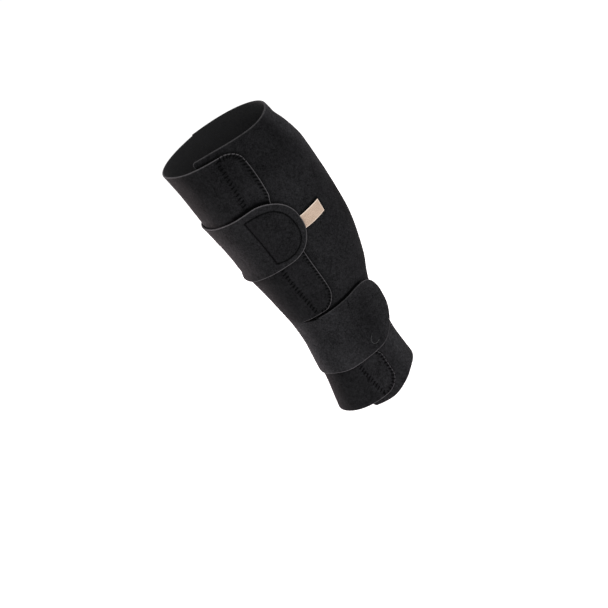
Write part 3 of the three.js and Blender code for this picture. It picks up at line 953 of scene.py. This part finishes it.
def frontFlapSheet():
    flapTurn, flapHeight = flapGrid
    strapTurn, strapHeight = lowerStrapGrid
    flapIds = np.arange(flapTurn.size).reshape(flapTurn.shape)
    strapIds = np.arange(strapTurn.size).reshape(strapTurn.shape) + flapTurn.size
    strapIds[:len(rootTurns), 0] = flapIds[:len(rootTurns), -1]
    cells = np.concatenate([gridCells(flapIds), gridCells(strapIds)])
    used, cells = np.unique(cells, return_inverse=True)
    turn = np.concatenate([flapTurn.ravel(), strapTurn.ravel()])[used]
    height = np.concatenate([flapHeight.ravel(), strapHeight.ravel()])[used]
    return {"turn": turn, "height": height, "cells": cells.reshape(-1, 4)}


def lineOf(grid, part):
    return {"turn": grid[0][part], "height": grid[1][part]}


def sideOf(grid, edge, low, high):  # the upper or lower edge of a grid between two turns
    row = 0 if edge == "top" else -1
    kept = (grid[0][:, row] >= low) & (grid[0][:, row] <= high)
    return lineOf(grid, (kept, row))


def outlineOf(grid, cut):
    turn, height = tipOutline(grid, cut)
    return {"turn": turn, "height": height}


# a groove along a line, with painted shade along it
def seamAlong(surface, line, width, shade, depth=0, sharp=3):
    turn, height = evenPath(line["turn"], line["height"], step=1.0)
    return {"paths": [surface(turn, height)], "depth": depth, "width": width, "shade": shade, "sharp": sharp}


def hollowsUnder(stitches, width, shade, depth=0.3, sharp=3):  # the pile parts round each stitch, and painted shade darkens each hollow
    return {"paths": stitches, "depth": depth, "width": width, "shade": shade, "sharp": sharp}


def shadowsBy(surface, grid, shadows):  # painted shadow along the edges of a piece that closes over the surface
    seams = []
    for shadow in shadows:
        line = sideOf(grid, shadow["edge"], *shadow["turns"])
        seams.append(seamAlong(surface, line, shadow["width"], shadow["shade"], sharp=shadow.get("sharp", 3)))
    return seams


panelSurface = surfaceOf(panelLay)
flapSurface = surfaceOf(frontFlapLay)
tabSurface = surfaceOf(overPanel)
upperSurface = surfaceOf(upperStrapLay)

# Main panel. Painted shadow lies along the edges of the pieces that close over it.
panelLook = {
    "tipShadow": {"width": 1.5, "shade": 0.4},
    "upperTipShadow": {"width": 1.6, "shade": 0.4},
    "flapShadows": ({"edge": "top", "turns": (50, 84), "width": 2.0, "shade": 0.8},),
    "strapShadows": ({"edge": "top", "turns": (58, 134), "width": 1.8, "shade": 1.0, "sharp": 4},),
    "labelShadows": {"top": 2.2, "end": 3.2, "bottom": 1.2},  # widths of the painted shadow round the label
    "glow": {"hem": 0.9, "above": 0.45, "heights": (-252, -236)},  # how pale the cut edge is, partly the foam's own colour and partly painted highlight
    "sideSeam": {
        "line": {"turn": (seamTurn, seamTurn), "height": (-257, 70)},
        "pitch": 3.2,
        "width": 5,
        "slant": 1.6,
        "threadRadius": 0.28,
    },
}
panelShadows = [
    seamAlong(panelSurface, outlineOf(flapGrid, flapCut), **panelLook["tipShadow"]),
    seamAlong(panelSurface, outlineOf(upperStrapGrid, upperStrapCut), **panelLook["upperTipShadow"]),
    seamAlong(panelSurface, outlineOf(bottomTabGrid, bottomTabCut), **panelLook["tipShadow"]),
]
panelShadows += shadowsBy(panelSurface, flapGrid, panelLook["flapShadows"])
panelShadows += shadowsBy(panelSurface, lowerStrapGrid, panelLook["strapShadows"])
# painted shadow round the label, whose end stands off the panel
labelSides = {"top": np.s_[:, 0], "end": -1, "bottom": np.s_[:, -1]}
for side, width in panelLook["labelShadows"].items():
    panelShadows.append(seamAlong(panelSurface, lineOf(labelGrid, labelSides[side]), width, shade=1.0))


def panelRim(turn, height):
    glow = panelLook["glow"]
    return mix(glow["hem"], glow["above"], ease(height, *glow["heights"]))


mainPanel = clothPiece(
    "mainPanel", sheetOf(panelGrid()), panelLay, layers["cloth"], clothFaces, panelShadows,
    rimGlow=panelRim, lie=panelPileAndLight)
seamThreads = slantedStitches(panelSurface, panelLook["sideSeam"])
seamThread = threadPiece("sideSeamThread", seamThreads, panelLook["sideSeam"]["threadRadius"], sewingThread)

# Front flap with the lower strap, one cut piece parted by a slit.
flapLook = {
    "zigzag": {
        "line": {"height": (-134, -114, -73, 10, 37, 62), "turn": (67, 64.5, 64, 73, 75.5, 80.5)},
        "pitch": 4.4,
        "width": 4.5,
        "slant": 2.0,
        "threadRadius": 0.43,
        "seam": {"width": 2.6, "shade": 0.1, "depth": 0.15},
        "hollows": {"width": 0.8, "shade": 0.8},
    },
    "overcast": {
        "pitch": 4.2,
        "reach": (4.4, 3.0),  # at the upper and the lower corner
        "slant": 1.8,
        "over": (0, 0.13),  # shares of the outline between which the thread goes over the rim
        "hollows": {"width": 1.0, "shade": 0.9},
    },
    "patch": {  # sewn outline of the hook patch under the lower strap
        "turn": (104.5, 104.5, 104.5, 104.5, 116, 128, 140, 150, 156.5, 150, 140, 128, 116, 107),
        "height": (
            -200, -185, -165, -147, -145.5, -146, -149.5,
            -157, -172, -188, -196.5, -201, -203, -203.5),
        "soft": 9,
        "pitch": 3.0,
        "sink": 0.4,
        "threadRadius": 0.26,
        "seam": {"width": 1.2, "shade": 0.1, "depth": 0.25},
    },
    "patchStart": {
        "turn": (104.5, 104.7, 104.9),
        "height": (-141.5, -145, -149.5),
        "pitch": 3.0,
        "sink": 0.2,
        "seam": {"width": 0.9, "shade": 0.4, "depth": 0.2},
    },
    "tack": {
        "turn": (112, 108.8, 108, 109.8, 114.5, 121.5),
        "height": (-193.6, -196, -199.4, -202.6, -203, -201.2),
        "pitch": 3.0,
        "sink": 0.1,
        "threadRadius": 0.25,
        "seam": {"width": 0.9, "shade": 0, "depth": 0.3},
    },
    # The slit's black line is painted shade in the gap, over a shallow groove.
    "slit": {"turns": (slit["turn"], 66), "seam": {"width": 1.05, "shade": 1.0, "depth": 0.15}},
    "shadows": (  # painted shadow along the upper strap's edges
        {"edge": "top", "turns": (-60, 104), "width": 1.7, "shade": 0.35},
        {"edge": "top", "turns": (48, 97), "width": 2.2, "shade": 0.9},
        {"edge": "top", "turns": (58, 95), "width": 3.8, "shade": 1.0},
        {"edge": "top", "turns": (72, 99), "width": 7, "shade": 0.45},
        {"edge": "top", "turns": (-60, 34), "width": 5, "shade": 0.5},
        {"edge": "bottom", "turns": (-60, 104), "width": 1.5, "shade": 0.3},
        {"edge": "bottom", "turns": (-60, 38), "width": 5, "shade": 0.5},
    ),
    "glow": {  # how pale the flap's cut edge is, partly the foam's own colour and partly painted highlight
        "low": 0.95,
        "middle": 0.75,
        "high": 0.85,
        "middleHeights": (-134, -122),
        "highHeights": (-75, -5),
    },
    "strapGlow": {  # dimmed by painted shade along the slit, most at its root, and at the tip
        "slit": 0.3,
        "slitTurns": (62, 72),
        "slitEndTurns": (116, 146),
        "slitDepths": (10, 4),
        "tipLoss": 0.5,
        "tipTurns": (138, 155),
        "tipHeights": (-204, -190),
    },
}


def flapRim(turn, height):
    flap = flapLook["glow"]
    strap = flapLook["strapGlow"]
    strapTop = heightOf(lowerStrapCut["top"], turn)
    deep, shallow = strap["slitDepths"]
    atSlit = ease(height, strapTop - deep, strapTop - shallow) * (1 - ease(turn, *strap["slitEndTurns"]))
    atTip = ease(turn, *strap["tipTurns"]) * ease(height, *strap["tipHeights"])
    strapGlow = 1 - atSlit * (1 - strap["slit"] * ease(turn, *strap["slitTurns"]))
    strapGlow = strapGlow * (1 - strap["tipLoss"] * atTip)
    flapGlow = mix(flap["low"], flap["middle"], ease(height, *flap["middleHeights"]))
    flapGlow = mix(flapGlow, flap["high"], ease(height, *flap["highHeights"]))
    return np.where(height <= strapTop + edgeSlack, strapGlow, flapGlow)


def sewnTip(surface, grid, cut, look):  # zigzag and overcast threads of a tip, the grooves they press in and the painted shade in them
    zigzag = look["zigzag"]
    overcast = look["overcast"]
    slanted = slantedStitches(surface, zigzag)
    edging = edgeStitches(surface, tipOutline(grid, cut), overcast)
    seams = [
        seamAlong(surface, zigzag["line"], **zigzag["seam"]),
        hollowsUnder(slanted, **zigzag["hollows"]),
        hollowsUnder([line[:faceSteps] for line in edging], **overcast["hollows"]),
    ]
    return slanted + edging, seams


flapThreads, flapGrooveShades = sewnTip(flapSurface, flapGrid, flapCut, flapLook)
for lineName in ("patch", "patchStart", "tack"):
    flapGrooveShades.append(seamAlong(flapSurface, flapLook[lineName], **flapLook[lineName]["seam"]))
slitLine = sideOf(lowerStrapGrid, "top", *flapLook["slit"]["turns"])
flapGrooveShades.append(seamAlong(flapSurface, slitLine, **flapLook["slit"]["seam"]))
flapGrooveShades += shadowsBy(flapSurface, upperStrapGrid, flapLook["shadows"])
frontFlap = clothPiece(
    "frontFlap", frontFlapSheet(), frontFlapLay, layers["cloth"], clothFaces, flapGrooveShades, flapLook["patch"],
    rimGlow=flapRim, lie=flapPileAndLight)
flapThread = threadPiece("flapThread", flapThreads, flapLook["zigzag"]["threadRadius"], sewingThread)
patchThreads = []
for lineName in ("patch", "patchStart"):
    patchThreads += straightStitches(flapSurface, flapLook[lineName], flapLook[lineName])
patchThread = threadPiece("lowerStrapThread", patchThreads, flapLook["patch"]["threadRadius"], sewingThread)
tackThreads = straightStitches(flapSurface, flapLook["tack"], flapLook["tack"])
tackStitches = threadPiece("lowerStrapTack", tackThreads, flapLook["tack"]["threadRadius"], tackThread)

# Bottom tab.
tabLook = {
    "zigzag": {
        "line": {"turn": (89, 85.5, 82, 79), "height": (-255, -243, -229, -214)},
        "pitch": 3.9,
        "width": 4.2,
        "slant": 1.9,
        "threadRadius": 0.36,
        "seam": {"width": 2.6, "shade": 0, "depth": 0.15},
        "hollows": {"width": 0.72, "shade": 0.85},
    },
    "overcast": {
        "pitch": 4.4,
        "reach": (2.4, 4.0),
        "slant": 1.3,
        "over": (0, 0.78),
        "hollows": {"width": 1.15, "shade": 1.0},
    },
    "shadows": (  # painted shadow along the lower strap's lower edge
        {"edge": "bottom", "turns": (-60, 150), "width": 1.6, "shade": 0.35},
        {"edge": "bottom", "turns": (48, 76), "width": 5, "shade": 0.3},
    ),
    # how pale the tab's cut edge is, partly the foam's own colour and partly painted highlight
    "glow": {"side": 1.0, "tip": 0.8, "turns": (92, 100)},
}


def tabRim(turn, height):
    glow = tabLook["glow"]
    return mix(glow["side"], glow["tip"], ease(turn, *glow["turns"]))


tabThreads, tabGrooveShades = sewnTip(tabSurface, bottomTabGrid, bottomTabCut, tabLook)
tabGrooveShades += shadowsBy(tabSurface, lowerStrapGrid, tabLook["shadows"])
bottomTab = clothPiece(
    "bottomTab", sheetOf(bottomTabGrid), overPanel, layers["cloth"], clothFaces, tabGrooveShades,
    rimGlow=tabRim, lie=tabPile)
tabThread = threadPiece("bottomTabThread", tabThreads, tabLook["zigzag"]["threadRadius"], sewingThread)

# Upper strap with its D-shaped hook patch sewn under the tip.
upperLook = {
    "patch": {
        "turn": (64.5, 64.7, 65, 65.2, 74, 83, 91, 96, 97.3, 95.5, 90, 82, 74, 64.5),
        "height": (-6.5, -25, -45, -62, -63, -61, -55, -46, -34, -20, -10.5, -6.3, -5.6, -6.5),
        "corner": 4,  # the straight side ends here and the arc starts
        "soft": 1.5,
        "seam": {"width": 0.95, "shade": 0.8, "depth": 0.5},
    },
    "root": {
        "turn": (-97, -97, -86, -86, -97),
        "height": (-3, -69, -69, -3, -3),
        "seam": {"width": 1.0, "shade": 0.4, "depth": 0.3},
    },
    "stitch": {"pitch": 3.0, "sink": 0.2, "threadRadius": 0.3},
}


def partOf(line, first, last):
    return {key: line[key][first:last] for key in ("turn", "height")}


upperPatch = upperLook["patch"]
upperRoot = upperLook["root"]
upperLines = [partOf(upperPatch, 0, upperPatch["corner"]), partOf(upperPatch, upperPatch["corner"] - 1, None)]
rootLines = [partOf(upperRoot, i, i + 2) for i in range(len(upperRoot["turn"]) - 1)]
upperGrooveShades = [seamAlong(upperSurface, line, **upperPatch["seam"]) for line in upperLines]
upperGrooveShades += [seamAlong(upperSurface, line, **upperRoot["seam"]) for line in rootLines]
upperStrap = clothPiece(
    "upperStrap", sheetOf(upperStrapGrid), upperStrapLay, layers["cloth"], clothFaces, upperGrooveShades, upperPatch,
    lie=upperStrapPileAndLight)
upperThreads = []
for line in upperLines + rootLines:
    upperThreads += straightStitches(upperSurface, line, upperLook["stitch"])
upperThread = threadPiece("upperStrapThread", upperThreads, upperLook["stitch"]["threadRadius"], sewingThread)

# Label.
wovenLabel = clothPiece(
    "wovenLabel", sheetOf(labelGrid), labelLay, layers["label"], (labelRibbon,), drapeIt=False)

dress(mainPanel, "main_panel")
dress(frontFlap, "front_flap")
dress(bottomTab, "bottom_tab")
dress(upperStrap, "upper_strap")
dress(wovenLabel, "label_tab")

hookNodes = ("flap_hook_strip", "bottom_tab_hook_strip", "upper_strap_hook_patch", "lower_strap_hook_patch")
for hookNode in hookNodes:
    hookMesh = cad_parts[hookNode].data
    hookMesh.materials.clear()
    hookMesh.materials.append(hookTape)
print("hook pieces covered:", len(hookNodes))

# Stage, light and camera.
stage = {
    "floorHeight": -0.40,
    "floorSize": 60,
    "floorColour": (0.95, 0.95, 0.95),
    "floorRoughness": 0.9,
    "floorGloss": 0.1,
    "worldStrength": 1.08,
}


def stageFloor():
    half = stage["floorSize"] / 2
    mesh = bpy.data.meshes.new("stageFloor")
    corners = [(-half, -half), (half, -half), (half, half), (-half, half)]
    mesh.from_pydata([(x, y, stage["floorHeight"]) for x, y in corners], [], [(0, 1, 2, 3)])
    material = bpy.data.materials.new("paleFloor")
    material.use_nodes = True
    shader = material.node_tree.nodes["Principled BSDF"]
    shader.inputs["Base Color"].default_value = (*stage["floorColour"], 1)
    shader.inputs["Roughness"].default_value = stage["floorRoughness"]
    shader.inputs["Specular IOR Level"].default_value = stage["floorGloss"]
    mesh.materials.append(material)
    floor = bpy.data.objects.new("stageFloor", mesh)
    bpy.context.scene.collection.objects.link(floor)


stageFloor()
world = bpy.data.worlds.new("studio")
world.use_nodes = True
world.node_tree.nodes["Background"].inputs["Color"].default_value = (1, 1, 1, 1)
world.node_tree.nodes["Background"].inputs["Strength"].default_value = stage["worldStrength"]
bpy.context.scene.world = world
bpy.context.scene.view_settings.view_transform = "Standard"

lights = {
    "key": {"place": (0.1, -2.1, 0.6), "size": 1.4, "power": 22, "colour": (1, 1, 1)},
    "rim": {"place": (-1.15, 1.15, 0.0), "size": 0.7, "power": 52, "colour": (1, 0.86, 0.87)},
}
for lightName, light in lights.items():
    data = bpy.data.lights.new(lightName, "AREA")
    data.shape = "DISK"
    data.size = light["size"]
    data.energy = light["power"]
    data.color = light["colour"]
    lamp = bpy.data.objects.new(lightName, data)
    lamp.location = light["place"]
    lamp.rotation_euler = Vector(light["place"]).to_track_quat("Z", "Y").to_euler()
    bpy.context.scene.collection.objects.link(lamp)

shot = {
    "distance": 1.6,
    "elevation": 16,
    "roll": 33.83,
    "pixelsPerMetre": 957,
    "originPixel": (250.0, 192.5),
    "imageSize": 608,
    "sensor": 36,
}


def shotCamera():
    up = math.radians(shot["elevation"])
    roll = math.radians(shot["roll"])
    eye = Vector((0, -math.cos(up), math.sin(up))) * shot["distance"]
    forward = -eye.normalized()
    right = Vector((1, 0, 0))
    upright = right.cross(forward)
    rolledRight = right * math.cos(roll) - upright * math.sin(roll)
    rolledUp = right * math.sin(roll) + upright * math.cos(roll)
    focalPixels = shot["pixelsPerMetre"] * shot["distance"]
    offX = (shot["originPixel"][0] - shot["imageSize"] / 2) / focalPixels
    offY = (shot["imageSize"] / 2 - shot["originPixel"][1]) / focalPixels
    look = (forward - rolledRight * offX - rolledUp * offY).normalized()
    sideAxis = (rolledRight - look * rolledRight.dot(look)).normalized()
    turn = Matrix((sideAxis, look.cross(sideAxis) * -1, -look)).transposed()
    data = bpy.data.cameras.new("shot")
    data.sensor_width = shot["sensor"]
    data.lens = shot["sensor"] * focalPixels / shot["imageSize"]
    camera = bpy.data.objects.new("shot", data)
    camera.matrix_world = Matrix.Translation(eye) @ turn.to_4x4()
    bpy.context.scene.collection.objects.link(camera)
    bpy.context.scene.camera = camera


shotCamera()
print("stage, lights and camera set")
